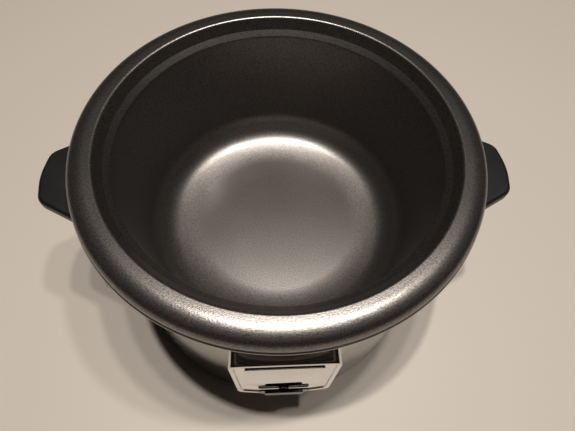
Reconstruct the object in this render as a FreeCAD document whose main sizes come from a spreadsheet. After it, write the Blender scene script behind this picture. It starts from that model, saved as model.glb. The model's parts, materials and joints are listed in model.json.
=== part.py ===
import FreeCAD, Part
# Round slow cooker: a lift-out metal pot in a heated, steel-cased base with a rotary selector.
# It stands on the counter with its origin at the centre of the base, +Z up and the controls
# facing -Y.  Every size is a cell of the Sizes sheet, and each piece is bound to those cells.
import math
import os
import re

import Sketcher

Vector = FreeCAD.Vector
Rotation = FreeCAD.Rotation
Placement = FreeCAD.Placement

X_AXIS = Vector(1, 0, 0)
Y_AXIS = Vector(0, 1, 0)
Z_AXIS = Vector(0, 0, 1)

# Driving dimensions, in millimetres and degrees.
SIZES = {
    # Cooking pot: spun sheet with a lid ledge and a domed rim.
    "pot_wall": 1.8,
    "floor_height": 84.0,
    "pot_depth": 116.0,
    "ledge_radius": 125.0,
    "ledge_width": 4.4,
    "ledge_drop": 4.4,
    "ledge_round": 2.6,
    "pot_draft": 10.0,
    "dish_inset": 30.1,
    "dish_round": 90.0,
    "dish_rise": 8.05,
    "floor_round": 28.0,
    "lip_width": 4.5,
    "lip_round": 2.4,
    "rim_width": 19.0,
    "rim_rise": 8.9,
    "dome_width": 9.0,
    "dome_fall": 4.5,
    "dome_round": 20.0,
    "rim_round": 8.5,
    "skirt_drop": 4.6,
    "bead_radius": 1.3,
    "bead_inset": 0.4,
    # Outer casing: a slightly flared shell with turned-in edges.
    "casing_wall": 0.8,
    "casing_offset": 3.0,
    "casing_flare": 13.0,
    "casing_foot": 6.0,
    "casing_top_drop": 4.0,
    "casing_bend": 1.2,
    "casing_hem": 8.0,
    "casing_flange": 2.6,
    "collar_skirt": 8.0,
    "collar_wall": 2.6,
    "collar_top_width": 3.0,
    "fit_gap": 0.1,
    # Heated liner and what is wrapped round it.
    "well_wall": 1.0,
    "well_gap": 1.2,
    "well_floor_gap": 2.2,
    "well_round": 26.0,
    "heater_rise": 22.0,
    "heater_width": 38.0,
    "heater_thickness": 2.5,
    "heater_span": 336.0,
    "strap_width": 12.0,
    "strap_thickness": 0.6,
    "lug_length": 5.0,
    "lug_thickness": 1.2,
    "clamp_screw_radius": 1.5,
    "wrap_thickness": 3.0,
    "wrap_margin": 2.0,
    "wrap_span": 290.0,
    "reflector_drop": 9.0,
    "reflector_radius": 100.0,
    "reflector_lip": 5.0,
    "reflector_wall": 0.6,
    "stud_radius": 3.0,
    "stud_end": 1.5,
    "nut_radius": 5.8,
    "nut_height": 5.0,
    "spacer_radius": 6.0,
    # Base tray and feet.
    "tray_thickness": 2.5,
    "tray_inset": 1.5,
    "tray_dimple_radius": 13.0,
    "tray_dimple_rise": 11.5,
    "tray_bend": 3.5,
    "foot_radius": 12.0,
    "foot_inset": 26.0,
    "foot_stem_radius": 3.1,
    "foot_stem_length": 3.0,
    # Side handles.
    "handle_drop": 35.0,
    "handle_reach": 38.5,
    "handle_tip_half": 23.0,
    "handle_tip_bow": 4.0,
    "handle_root_half": 69.0,
    "handle_root_depth": 28.0,
    "handle_tip_round": 12.0,
    "handle_tip_sweep": 60.0,
    "wing_thickness": 8.0,
    "wing_fillet": 3.4,
    "grip_depth": 14.0,
    "grip_inset": 4.0,
    "grip_taper": 12.0,
    "finger_depth": 13.0,
    "finger_wall": 9.0,
    "finger_round": 5.0,
    "finger_root_gap": 16.0,
    "finger_root_half": 26.0,
    "handle_screw_half": 22.0,
    "handle_screw_drop": 10.0,
    "handle_screw_radius": 2.0,
    "handle_screw_length": 14.0,
    "handle_screw_head": 4.0,
    "handle_plate_height": 12.0,
    "handle_plate_wall": 1.6,
    "handle_plate_span": 28.0,
    # Control bezel on the front of the casing.
    "knob_drop": 14.5,
    "bezel_below": 21.0,
    "bezel_above": 72.5,
    "bezel_top_half": 40.0,
    "bezel_foot_half": 37.5,
    "bezel_corner_rise": 18.0,
    "bezel_corner_round": 8.0,
    "bezel_smile_round": 66.0,
    "bezel_depth": 12.9,
    "bezel_bite": 7.0,
    "bezel_border": 4.0,
    "bezel_recess": 1.2,
    "bezel_wall": 2.2,
    "bezel_edge_round": 1.4,
    "panel_half": 29.0,
    "panel_top_gap": 11.0,
    "panel_above_knob": 5.6,
    "panel_corner_rise": 13.0,
    "panel_corner_round": 3.0,
    "panel_smile_round": 50.0,
    "panel_thickness": 1.1,
    "panel_edge_round": 0.4,
    "bezel_screw_half": 26.0,
    "bezel_screw_rise": 40.0,
    "bezel_screw_radius": 1.5,
    "bezel_screw_setback": 4.8,
    "bezel_boss_radius": 4.0,
    # Rotary selector.
    "skirt_radius": 4.4,
    "skirt_thickness": 1.2,
    "skirt_sink": 0.9,
    "grip_base_length": 41.0,
    "grip_base_height": 9.6,
    "grip_base_thickness": 1.3,
    "grip_length": 31.0,
    "grip_height": 8.4,
    "grip_thickness": 1.7,
    "grip_end_round": 2.8,
    "grip_edge_round": 0.5,
    "shaft_radius": 3.0,
    "shaft_running_gap": 0.05,
    "shaft_hole_gap": 1.2,
    "shaft_inside": 9.0,
    "bush_radius": 4.75,
    "bush_length": 3.6,
    "bush_nut_radius": 8.0,
    "bush_nut_height": 3.0,
    "switch_half": 14.0,
    "switch_depth": 15.5,
    "switch_setback": 3.4,
    "bracket_half": 18.0,
    "bracket_thickness": 1.0,
    "switch_tab_half": 7.0,
    "switch_tab_length": 3.0,
    # Cord inlet and wiring.
    "gland_height": 32.0,
    "gland_radius": 11.5,
    "gland_reach": 15.0,
    "gland_barrel_radius": 7.0,
    "gland_inside": 9.0,
    "gland_bore": 3.6,
    "gland_nut_radius": 10.0,
    "gland_nut_height": 4.0,
    "tab_angle": 16.0,
    "tab_offset": 2.5,
    "tab_width": 5.0,
    "tab_thickness": 1.0,
    "tab_length": 10.0,
    "wire_radius": 1.1,
    "wire_bend": 3.0,
    "block_length": 36.0,
    "block_width": 14.0,
    "block_height": 15.0,
    "block_back_gap": 30.0,
    "block_hole_radius": 2.0,
    "fuse_start": 35.0,
    "fuse_y": 55.0,
    "fuse_radius": 2.2,
    "fuse_length": 14.0,
    "fuse_clip_wall": 0.8,
    "fuse_clip_width": 4.0,
    "fuse_clip_length": 16.0,
    "earth_x": 40.0,
    "earth_y": 70.0,
    "earth_screw_radius": 3.5,
    "earth_screw_height": 2.6,
}

# Working dimensions, each a formula of the driving ones.
DERIVED = {
    "ledge_z": "floor_height + pot_depth",
    "ledge_inner": "ledge_radius - ledge_width",
    "pot_floor_radius": "ledge_inner - pot_draft",
    "lip_radius": "ledge_radius + lip_width",
    "rim_radius": "lip_radius + rim_width",
    "rim_top": "ledge_z + rim_rise",
    "skirt_z": "ledge_z - skirt_drop",
    "casing_top": "ledge_z - casing_top_drop",
    "casing_top_radius": "ledge_radius + casing_offset",
    "casing_foot_radius": "casing_top_radius + casing_flare",
    "casing_slope": "casing_flare / (casing_top - casing_foot)",
    "well_floor": "floor_height - pot_wall - well_floor_gap",
    "well_top": "casing_top - casing_wall",
    "well_foot_radius": "pot_floor_radius + pot_wall + well_gap",
    "well_top_radius": "ledge_inner + pot_wall + well_gap",
    "well_slope": "(well_top_radius - well_foot_radius) / (well_top - well_floor)",
    "heater_foot": "floor_height + heater_rise",
    "heater_top": "heater_foot + heater_width",
    "heater_middle": "heater_foot + heater_width / 2",
    "reflector_z": "well_floor - well_wall - reflector_drop",
    "tray_foot": "casing_foot - tray_thickness",
    "tray_radius": "casing_foot_radius - tray_inset",
    "foot_place": "casing_foot_radius - foot_inset",
    "handle_top": "ledge_z - handle_drop",
    "handle_tip": "rim_radius + handle_reach",
    "handle_root": "casing_top_radius - handle_root_depth",
    "handle_screw_z": "handle_top - handle_screw_drop",
    "knob_z": "floor_height - knob_drop",
    "bezel_screw_z": "knob_z + bezel_screw_rise",
    "grip_back": "bezel_depth - skirt_sink + skirt_thickness",
    "switch_back": "switch_setback + switch_depth",
    "gland_seat": "casing_foot_radius - casing_slope * (gland_height - casing_foot)",
    "block_y": "casing_foot_radius - casing_hem - block_back_gap",
    "block_z": "casing_foot + block_height / 2",
    "tab_place": "well_foot_radius + well_slope * (heater_foot - well_floor) + tab_offset",
    "fuse_z": "reflector_z - reflector_wall - fuse_clip_wall - fuse_radius - fit_gap",
}

doc = FreeCAD.newDocument("SlowCooker")
sheet = doc.addObject("Spreadsheet::Sheet", "Sizes")
for row, (alias, number) in enumerate(SIZES.items(), start=1):
    sheet.set(f"A{row}", alias)
    sheet.set(f"B{row}", str(number))
    sheet.setAlias(f"B{row}", alias)
doc.recompute()

nodes = []


def formula(text):
    """Write a formula of size names as an expression that the document can evaluate."""

    def expand(match):
        word = match.group(0)
        if word in DERIVED:
            return "(" + formula(DERIVED[word]) + ")"
        if word in SIZES:
            return "Sizes." + word
        return word

    return re.sub(r"[a-z][a-z_]+", expand, str(text))


def value(text):
    """Return the present value of a formula of size names."""
    result = sheet.evalExpression(formula(text))
    return float(getattr(result, "Value", result))


def bind(thing, prop, text):
    """Bind a property to a formula of size names."""
    thing.setExpression(prop, formula(text))


def casing_radius(height):
    """Return the formula for the casing's outside radius at a height."""
    return f"(casing_foot_radius - casing_slope * ({height} - casing_foot))"


def well_radius(height):
    """Return the formula for the liner's outside radius at a height on its straight wall."""
    return f"(well_foot_radius + well_slope * ({height} - well_floor) + well_wall)"


def place(thing, x=0, y=0, z=0, axis=None, angle=0):
    """Bind a thing's position, and turn it about one axis."""
    if axis is not None:
        thing.Placement = Placement(Vector(0, 0, 0), Rotation(axis, value(angle)))
        bind(thing, "Placement.Rotation.Angle", angle)
        thing.setExpression("Placement.Rotation.Axis.x", str(axis.x))
        thing.setExpression("Placement.Rotation.Axis.y", str(axis.y))
        thing.setExpression("Placement.Rotation.Axis.z", str(axis.z))
    for letter, text in zip("xyz", (x, y, z)):
        bind(thing, f"Placement.Base.{letter}", text)
    return thing


def stand_on_front(thing, height):
    """Stand a thing on the casing's front slope, its own -Y pointing straight out of it."""
    return place(thing, 0, f"0 - {casing_radius(height)}", height, X_AXIS, "-atan(casing_slope)")


def keep(thing, label):
    """Name a finished piece and list it as a node."""
    thing.Label = label
    nodes.append(thing)
    return thing


def primitive(kind, **sizes):
    """Add a Part primitive with each size bound to a formula."""
    thing = doc.addObject(f"Part::{kind}", kind)
    for prop, text in sizes.items():
        bind(thing, prop, text)
    return thing


def rod(radius, length, x=0, y=0, z=0, axis=None, angle=0):
    """Add a round bar, which runs along +Z until it is turned."""
    bar = primitive("Cylinder", Radius=radius, Height=length)
    return place(bar, x, y, z, axis, angle)


def block(length, width, height, x=0, y=0, z=0):
    """Add a box centred on x and y, standing on z."""
    box = primitive("Box", Length=length, Width=width, Height=height)
    return place(box, f"{x} - ({length}) / 2", f"{y} - ({width}) / 2", z)


def cut(base, *tools):
    """Cut tools away from a base."""
    tool = tools[0]
    if len(tools) > 1:
        tool = doc.addObject("Part::Compound", "Tools")
        tool.Links = list(tools)
    result = doc.addObject("Part::Cut", "Cut")
    result.Base = base
    result.Tool = tool
    return result


def join(*pieces):
    """Fuse pieces into one."""
    result = doc.addObject("Part::MultiFuse", "Fuse")
    result.Shapes = list(pieces)
    return result


def group(*pieces):
    """Group separate solids that share a node."""
    result = doc.addObject("Part::Compound", "Group")
    result.Links = list(pieces)
    return result


def draw(sketch, corners, closed=True):
    """Draw an outline through corners (x, y) or (x, y, rounding), each bound to formulas."""
    spots = [Vector(value(corner[0]), value(corner[1]), 0) for corner in corners]
    count = len(corners)
    entries = []
    exits = []
    arcs = {}
    for index, corner in enumerate(corners):
        spot = spots[index]
        if len(corner) == 2:
            entries.append(spot)
            exits.append(spot)
            continue
        radius = value(corner[2])
        back = (spots[index - 1] - spot).normalize()
        ahead = (spots[(index + 1) % count] - spot).normalize()
        half = back.getAngle(ahead) / 2
        entry = spot + back * (radius / math.tan(half))
        leave = spot + ahead * (radius / math.tan(half))
        centre = spot + (back + ahead).normalize() * (radius / math.sin(half))
        left_turn = back.cross(ahead).z < 0
        first, last = (entry, leave) if left_turn else (leave, entry)
        start = math.atan2(first.y - centre.y, first.x - centre.x)
        end = math.atan2(last.y - centre.y, last.x - centre.x)
        if end < start:
            end += 2 * math.pi
        circle = Part.Circle(centre, Z_AXIS, radius)
        arcs[index] = (sketch.addGeometry(Part.ArcOfCircle(circle, start, end)), left_turn)
        entries.append(entry)
        exits.append(leave)
    sides = []
    for index in range(count if closed else count - 1):
        sides.append(sketch.addGeometry(Part.LineSegment(exits[index], entries[(index + 1) % count])))
    for index, corner in enumerate(corners):
        side_in = sides[index - 1] if closed or index > 0 else None
        side_out = sides[index] if index < len(sides) else None
        if index in arcs:
            arc, left_turn = arcs[index]
            point = sketch.addGeometry(Part.Point(spots[index]), True)
            at_entry, at_exit = (1, 2) if left_turn else (2, 1)
            sketch.addConstraint(Sketcher.Constraint("Tangent", side_in, 2, arc, at_entry))
            sketch.addConstraint(Sketcher.Constraint("Tangent", arc, at_exit, side_out, 1))
            sketch.addConstraint(Sketcher.Constraint("PointOnObject", point, 1, side_in))
            sketch.addConstraint(Sketcher.Constraint("PointOnObject", point, 1, side_out))
            number = sketch.addConstraint(Sketcher.Constraint("Radius", arc, value(corner[2])))
            sketch.renameConstraint(number, f"round{index}")
            bind(sketch, f"Constraints.round{index}", corner[2])
            pinned = (point, 1)
        elif side_out is None:
            pinned = (side_in, 2)
        else:
            pinned = (side_out, 1)
            if side_in is not None:
                sketch.addConstraint(Sketcher.Constraint("Coincident", side_in, 2, side_out, 1))
        for kind, text in (("DistanceX", corner[0]), ("DistanceY", corner[1])):
            number = sketch.addConstraint(Sketcher.Constraint(kind, -1, 1, *pinned, value(text)))
            sketch.renameConstraint(number, f"{kind}{index}")
            bind(sketch, f"Constraints.{kind}{index}", text)
    return sketch


def upright_sketch(corners, closed):
    """Draw an outline in the upright XZ plane, x outwards and y up."""
    sketch = doc.addObject("Sketcher::SketchObject", "Profile")
    sketch.Placement = Placement(Vector(0, 0, 0), Rotation(X_AXIS, 90))
    return draw(sketch, corners, closed)


def turned(corners, span="360", start="0"):
    """Turn a closed outline about the upright axis, all round or over part of a turn."""
    ring = doc.addObject("Part::Revolution", "Turned")
    ring.Source = upright_sketch(corners, True)
    ring.Axis = Z_AXIS
    ring.Base = Vector(0, 0, 0)
    ring.Solid = True
    bind(ring, "Angle", span)
    return place(ring, axis=Z_AXIS, angle=start)


def spun_sheet(corners, wall):
    """Spin an open outline about the upright axis, its wall on the right of the way it is drawn."""
    skin = doc.addObject("Part::Offset2D", "Wall")
    skin.Source = upright_sketch(corners, False)
    skin.Mode = "Skin"
    skin.Join = "Intersection"
    skin.Fill = True
    bind(skin, "Value", wall)
    doc.recompute()
    first, second = (Vector(value(x), 0, value(z)) for x, z in (corners[0][:2], corners[1][:2]))
    rightwards = Y_AXIS.cross(second - first).normalize() * (value(wall) / 2)
    inside = (first * 3 + second) * 0.25 + rightwards
    if not skin.Shape.isInside(inside, 0.001, True):
        bind(skin, "Value", f"0 - {wall}")
    shell = doc.addObject("Part::Revolution", "Spun")
    shell.Source = skin
    shell.Axis = Z_AXIS
    shell.Base = Vector(0, 0, 0)
    shell.Angle = 360
    shell.Solid = True
    return shell


def sketch_in(body, role, lift="0"):
    """Add a sketch to a body on one of its origin planes, lifted along the plane's normal."""
    sketch = body.newObject("Sketcher::SketchObject", "Sketch")
    plane = next(item for item in body.Origin.OriginFeatures if item.Role == role)
    sketch.AttachmentSupport = [(plane, "")]
    sketch.MapMode = "FlatFace"
    bind(sketch, "AttachmentOffset.Base.z", lift)
    return sketch


def pad(body, role, corners, lift, length, taper=None):
    """Pad a closed outline on a body's plane, along the plane's normal."""
    feature = body.newObject("PartDesign::Pad", "Pad")
    feature.Profile = draw(sketch_in(body, role, lift), corners)
    bind(feature, "Length", length)
    if taper is not None:
        bind(feature, "TaperAngle", taper)
    return feature


def pocket(body, role, corners, lift, length, towards_normal=False):
    """Pocket a closed outline, against the plane's normal unless told otherwise."""
    feature = body.newObject("PartDesign::Pocket", "Pocket")
    feature.Profile = draw(sketch_in(body, role, lift), corners)
    feature.Reversed = towards_normal
    bind(feature, "Length", length)
    return feature


def soften(body, radius, chosen):
    """Fillet those edges of a body's last feature that a test picks."""
    doc.recompute()
    base = body.Tip
    names = [f"Edge{n}" for n, edge in enumerate(base.Shape.Edges, start=1) if chosen(edge)]
    feature = body.newObject("PartDesign::Fillet", "Fillet")
    feature.Base = (base, names)
    bind(feature, "Radius", radius)
    return feature


def new_body():
    """Add an empty body."""
    return doc.addObject("PartDesign::Body", "Body")


def rectangle(half_x, half_y):
    """Return the corners of a rectangle about the origin."""
    return [(f"0 - ({half_x})", f"0 - ({half_y})"), (half_x, f"0 - ({half_y})"),
            (half_x, half_y), (f"0 - ({half_x})", half_y)]


def front_spot(x, height, depth):
    """Return the formulas of a spot at a depth behind the casing's front slope."""
    return (x, f"({depth}) * cos(atan(casing_slope)) - {casing_radius(height)}",
            f"({height}) - ({depth}) * sin(atan(casing_slope))")


def front_rod(radius, x, height, inside, outside):
    """Add a round bar square to the casing's front, from a depth inside to a reach outside."""
    bar = primitive("Cylinder", Radius=radius, Height=f"{inside} + {outside}")
    return place(bar, *front_spot(x, height, inside), X_AXIS, "90 deg - atan(casing_slope)")


def bent_path(spots, bend):
    """Return a wire through spots, each inner one rounded by a tangent arc."""
    edges = []
    leave = spots[0]
    for before, spot, after in zip(spots, spots[1:], spots[2:]):
        back = (before - spot).normalize()
        ahead = (after - spot).normalize()
        half = back.getAngle(ahead) / 2
        reach = min(bend / math.tan(half), 0.45 * min((before - spot).Length, (after - spot).Length))
        radius = reach * math.tan(half)
        entry = spot + back * reach
        centre = spot + (back + ahead).normalize() * (radius / math.sin(half))
        middle = centre + (spot - centre).normalize() * radius
        edges.append(Part.LineSegment(leave, entry).toShape())
        leave = spot + ahead * reach
        edges.append(Part.Arc(entry, middle, leave).toShape())
    edges.append(Part.LineSegment(leave, spots[-1]).toShape())
    return Part.Wire(edges)


def wire(label, route):
    """Run an insulated wire through spots given as formulas."""
    radius = value("wire_radius")
    spots = [Vector(*(value(text) for text in spot)) for spot in route]
    path = bent_path(spots, value("wire_bend"))
    ring = Part.Wire(Part.Circle(spots[0], spots[1] - spots[0], radius).toShape())
    run = doc.addObject("Part::Feature", "Wire")
    run.Shape = path.makePipeShell([ring], True, False)
    return keep(run, label)


def casing_cone():
    """Add a solid that fills the casing's outside surface, to seat pieces on it."""
    cone = primitive("Cone", Radius1="casing_foot_radius", Radius2="casing_top_radius",
                     Height="casing_top - casing_foot")
    return place(cone, 0, 0, "casing_foot")


def cooking_pot():
    """Spin the pot: dished floor, drafted wall, sloped lid ledge, domed rim and beaded edge."""
    shell = spun_sheet([
        ("0", "floor_height"),
        ("pot_floor_radius - dish_inset", "floor_height", "dish_round"),
        ("pot_floor_radius", "floor_height + dish_rise", "floor_round"),
        ("ledge_inner", "ledge_z - ledge_drop", "ledge_round"),
        ("ledge_radius", "ledge_z", "ledge_round / 2"),
        ("lip_radius", "rim_top", "lip_round"),
        ("rim_radius - dome_width", "rim_top", "dome_round"),
        ("rim_radius", "rim_top - dome_fall", "rim_round"),
        ("rim_radius", "skirt_z"),
    ], "pot_wall")
    bead = primitive("Torus", Radius1="rim_radius - bead_inset", Radius2="bead_radius")
    place(bead, 0, 0, "skirt_z")
    keep(join(shell, bead), "cooking_pot")


def heating_well():
    """Spin the liner that the pot drops into, and turn its flange out under the casing's."""
    keep(cut(spun_sheet([
        ("0", "well_floor"),
        ("well_foot_radius", "well_floor", "well_round"),
        ("well_top_radius", "well_top", "casing_bend"),
        ("casing_top_radius - casing_bend - fit_gap", "well_top"),
    ], "well_wall"), rod("stud_radius", "well_wall * 3", 0, 0, "well_floor - well_wall * 2")),
        "heating_well")


def ring_on_well(gap, thickness, foot, top, span, start):
    """Turn a band that follows the liner's wall at a gap, over part of a turn."""
    return turned([
        (f"{well_radius(foot)} + {gap}", foot),
        (f"{well_radius(foot)} + {gap} + {thickness}", foot),
        (f"{well_radius(top)} + {gap} + {thickness}", top),
        (f"{well_radius(top)} + {gap}", top),
    ], span, start)


def heater():
    """Wrap the heater band, its strap, screw and felt round the liner, all open at the back."""
    half_open = "((360 - heater_span) / 2)"
    band_start = f"90 + {half_open}"
    keep(ring_on_well("fit_gap", "heater_thickness", "heater_foot", "heater_top",
                      "heater_span", band_start), "heater_band")

    strap_foot = "(heater_middle - strap_width / 2)"
    strap_top = "(heater_middle + strap_width / 2)"
    strap_gap = "(fit_gap * 2 + heater_thickness)"
    strap = ring_on_well(strap_gap, "strap_thickness", strap_foot, strap_top,
                         "heater_span", band_start)
    strap_radius = f"({well_radius('heater_middle')} + {strap_gap})"
    half_gap = f"({strap_radius} * sin({half_open}))"
    lug_rise = "fit_gap + well_slope * strap_width / 2"
    lug_y = f"({strap_radius} * cos({half_open}) + {lug_rise} + lug_length / 2)"
    lugs = []
    for side in (-1, 1):
        lug_x = f"{side} * ({half_gap} + lug_thickness / 2)"
        lugs.append(block("lug_thickness", "lug_length", "strap_width", lug_x, lug_y, strap_foot))
    hole = rod("clamp_screw_radius + fit_gap", f"{half_gap} * 2 + lug_thickness * 6",
               f"0 - {half_gap} - lug_thickness * 3", lug_y, "heater_middle", Y_AXIS, "90")
    keep(cut(join(strap, *lugs), hole), "heater_strap")

    head_face = f"(0 - {half_gap} - lug_thickness * 2)"
    shank = rod("clamp_screw_radius", f"{half_gap} * 2 + lug_thickness * 4",
                head_face, lug_y, "heater_middle", Y_AXIS, "90")
    head = rod("clamp_screw_radius * 1.5", "lug_thickness * 0.9",
               head_face, lug_y, "heater_middle", Y_AXIS, "90")
    keep(join(shank, head), "strap_screw")

    wrap_gap = f"({strap_gap} + strap_thickness + fit_gap)"
    keep(ring_on_well(wrap_gap, "wrap_thickness", "(heater_foot - wrap_margin)",
                      "(heater_top + wrap_margin)", "wrap_span",
                      "90 + (360 - wrap_span) / 2"), "insulation_wrap")

    tabs = []
    for side in (-1, 1):
        tabs.append(block("tab_width", "tab_thickness", "tab_length",
                          f"{side} * tab_place * sin(tab_angle)", "tab_place * cos(tab_angle)",
                          "heater_foot - tab_length"))
    keep(group(*tabs), "heater_tabs")


def under_the_well():
    """Hang the reflector below the liner and tie liner, reflector and tray together."""
    dish = spun_sheet([
        ("0", "reflector_z"),
        ("reflector_radius", "reflector_z", "reflector_wall * 3"),
        ("reflector_radius + reflector_lip / 2", "reflector_z + reflector_lip"),
    ], "reflector_wall")
    keep(cut(dish, rod("stud_radius + fit_gap", "reflector_wall * 4", 0, 0,
                       "reflector_z - reflector_wall * 3")), "heat_reflector")

    spacer_length = "reflector_drop"
    tube = rod("spacer_radius", spacer_length, 0, 0, "reflector_z")
    bore = rod("stud_radius + fit_gap", spacer_length, 0, 0, "reflector_z")
    keep(cut(tube, bore), "reflector_spacer")

    nut_top = "(tray_foot + tray_dimple_rise)"
    nut_foot = f"({nut_top} - nut_height)"
    keep(rod("stud_radius", f"well_floor - {nut_foot} + stud_end", 0, 0,
             f"{nut_foot} - stud_end"), "tie_stud")
    hexagon = primitive("Prism", Circumradius="nut_radius", Height="nut_height")
    place(hexagon, 0, 0, nut_foot)
    keep(cut(hexagon, rod("stud_radius", "nut_height", 0, 0, nut_foot)), "tie_nut")

    fuse = rod("fuse_radius", "fuse_length", "fuse_start", "fuse_y", "fuse_z", Y_AXIS, "90")
    keep(fuse, "thermal_fuse")
    clip_x = "fuse_start + fuse_length / 2"
    collar = rod("fuse_radius + fuse_clip_wall", "fuse_clip_width",
                 f"{clip_x} - fuse_clip_width / 2", "fuse_y", "fuse_z", Y_AXIS, "90")
    ear = block("fuse_clip_width", "fuse_clip_length", "fuse_clip_wall", clip_x, "fuse_y",
                "reflector_z - reflector_wall - fuse_clip_wall")
    hole = rod("fuse_radius", "fuse_clip_width * 2", f"{clip_x} - fuse_clip_width", "fuse_y",
               "fuse_z", Y_AXIS, "90")
    keep(cut(join(collar, ear), hole), "fuse_clip")


def handle_screw_line(side, y, radius, start, length):
    """Add a bar along X through a handle's screw place, running outwards on its side."""
    return rod(radius, length, f"{side} * ({start})", y, "handle_screw_z", Y_AXIS, f"{side} * 90")


def outer_casing():
    """Roll the steel casing with its hem and top flange, and drill it for what passes through."""
    shell = spun_sheet([
        ("casing_top_radius - casing_flange", "casing_top"),
        ("casing_top_radius", "casing_top", "casing_bend"),
        ("casing_foot_radius", "casing_foot", "casing_bend"),
        ("casing_foot_radius - casing_hem", "casing_foot"),
    ], "casing_wall")
    holes = [front_rod("bush_radius + fit_gap", 0, "knob_z", "bezel_bite", "bezel_bite")]
    for side in (-1, 1):
        holes.append(front_rod("bezel_screw_radius + fit_gap", f"{side} * bezel_screw_half",
                               "bezel_screw_z", "bezel_bite * 3", "bezel_bite"))
        for row_side in (-1, 1):
            holes.append(handle_screw_line(side, f"{row_side} * handle_screw_half",
                                           "handle_screw_radius + fit_gap",
                                           "handle_root", "handle_root_depth * 2"))
    holes.append(rod("gland_barrel_radius + fit_gap", "gland_inside * 2", 0,
                     "gland_seat - gland_inside", "gland_height", X_AXIS, "0 - 90"))
    keep(cut(shell, *holes), "outer_casing")


def casing_collar():
    """Turn the heat-proof collar that caps the casing inside the pot's rim."""
    foot = "(casing_top - collar_skirt)"
    top = "rim_top - pot_wall"
    inner_top = "lip_radius + pot_wall + fit_gap * 3"
    keep(turned([
        (f"{casing_radius(foot)} + fit_gap", foot),
        (f"{casing_radius(foot)} + fit_gap + collar_wall", foot),
        (f"{inner_top} + collar_top_width", top),
        (inner_top, top),
        ("casing_top_radius - casing_wall", "casing_top"),
        ("casing_top_radius + fit_gap", "casing_top"),
    ]), "casing_collar")


def base_tray():
    """Spin the base tray with a raised centre for the tie nut, and drill it for the feet."""
    dish = spun_sheet([
        ("tray_radius", "tray_foot"),
        ("tray_dimple_radius + tray_dimple_rise / 2", "tray_foot", "tray_bend"),
        ("tray_dimple_radius", "tray_foot + tray_dimple_rise", "tray_bend"),
        ("0", "tray_foot + tray_dimple_rise"),
    ], "tray_thickness")
    holes = [rod("stud_radius + fit_gap", "tray_dimple_rise * 2", 0, 0, "tray_foot")]
    for x, y in foot_places():
        holes.append(rod("foot_stem_radius + fit_gap", "tray_thickness * 3", x, y,
                         "tray_foot - tray_thickness"))
    keep(cut(dish, *holes), "base_tray")


def foot_places():
    """Return the four places of the feet, on the diagonals."""
    reach = "foot_place * cos(45)"
    return [(f"{side_x} * {reach}", f"{side_y} * {reach}") for side_y in (-1, 1)
            for side_x in (-1, 1)]


def rubber_feet():
    """Turn four feet, each with a barbed stem through the tray."""
    names = ("foot_front_left", "foot_front_right", "foot_rear_left", "foot_rear_right")
    tray_top = "(tray_foot + tray_thickness)"
    for name, (x, y) in zip(names, foot_places()):
        foot = turned([
            ("0", "0"),
            ("foot_radius - tray_foot / 2", "0", "tray_foot / 3"),
            ("foot_radius", "tray_foot"),
            ("foot_stem_radius", "tray_foot"),
            ("foot_stem_radius", tray_top),
            ("foot_stem_radius + fit_gap * 8", f"{tray_top} + fit_gap"),
            ("foot_stem_radius * 0.7", f"{tray_top} + foot_stem_length"),
            ("0", f"{tray_top} + foot_stem_length"),
        ])
        keep(place(foot, x, y, 0), name)


def handle_outline(inset):
    """Return a handle's plan outline drawn in by an inset, wide at the casing and bowed at the tip."""
    side_x = f"handle_tip - handle_tip_bow - {inset}"
    side_y = f"(handle_tip_half - {inset} / 2)"
    root_y = f"(handle_root_half - {inset})"
    return [
        ("handle_root", f"0 - {root_y}"),
        (side_x, f"0 - {side_y}", "handle_tip_round"),
        (f"handle_tip - {inset}", "0", "handle_tip_sweep"),
        (side_x, side_y, "handle_tip_round"),
        ("handle_root", root_y),
    ]


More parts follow.
